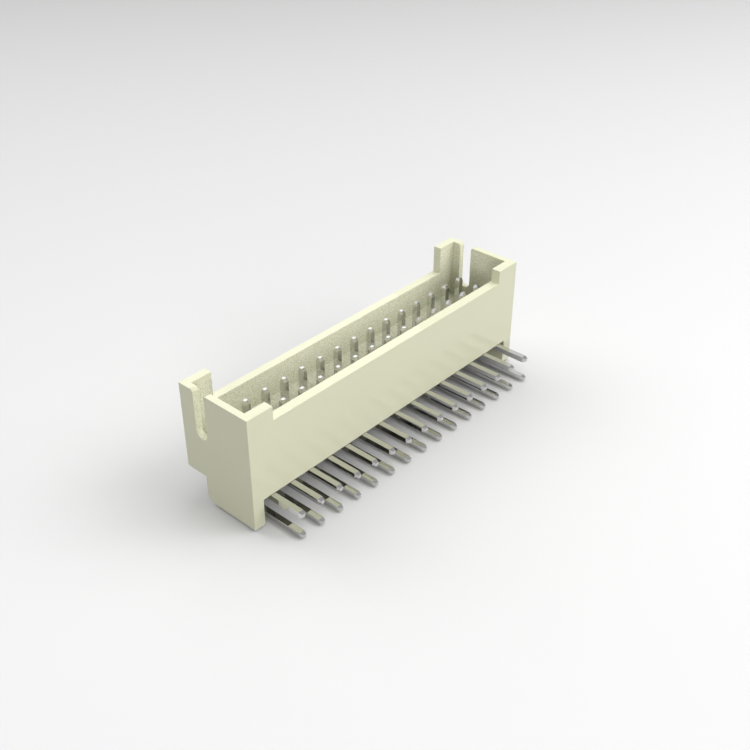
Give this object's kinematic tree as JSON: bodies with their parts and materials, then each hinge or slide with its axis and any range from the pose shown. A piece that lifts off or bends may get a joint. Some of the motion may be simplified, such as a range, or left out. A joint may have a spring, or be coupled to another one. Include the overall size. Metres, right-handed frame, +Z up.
{
  "type": "pin header",
  "caption": "Right-angle shrouded pin header: long open moulded housing with slotted end walls, posts in its cavity and bent solder tails below for a circuit board.",
  "frame": {"origin": "middle of the length and of the depth over the tails, at the level of the lower tails' undersides, on which the part rests", "axes": "+X along the rows of contacts, +Y from the board face to the back wall, +Z up out of the mating cavity"},
  "size_m": [0.032, 0.0106, 0.0102],
  "materials": {
    "housing": "natural ivory moulded polyester, satin",
    "contact": "bright tin plate over brass"
  },
  "bodies": {
    "root": {"housing": "housing", "contact_board_01": "contact", "contact_board_02": "contact", "contact_board_03": "contact", "contact_board_04": "contact", "contact_board_05": "contact", "contact_board_06": "contact", "contact_board_07": "contact", "contact_board_08": "contact", "contact_board_09": "contact", "contact_board_10": "contact", "contact_board_11": "contact", "contact_board_12": "contact", "contact_board_13": "contact", "contact_board_14": "contact", "contact_board_15": "contact", "contact_back_01": "contact", "contact_back_02": "contact", "contact_back_03": "contact", "contact_back_04": "contact", "contact_back_05": "contact", "contact_back_06": "contact", "contact_back_07": "contact", "contact_back_08": "contact", "contact_back_09": "contact", "contact_back_10": "contact", "contact_back_11": "contact", "contact_back_12": "contact", "contact_back_13": "contact", "contact_back_14": "contact", "contact_back_15": "contact"}
  },
  "joints": []
}
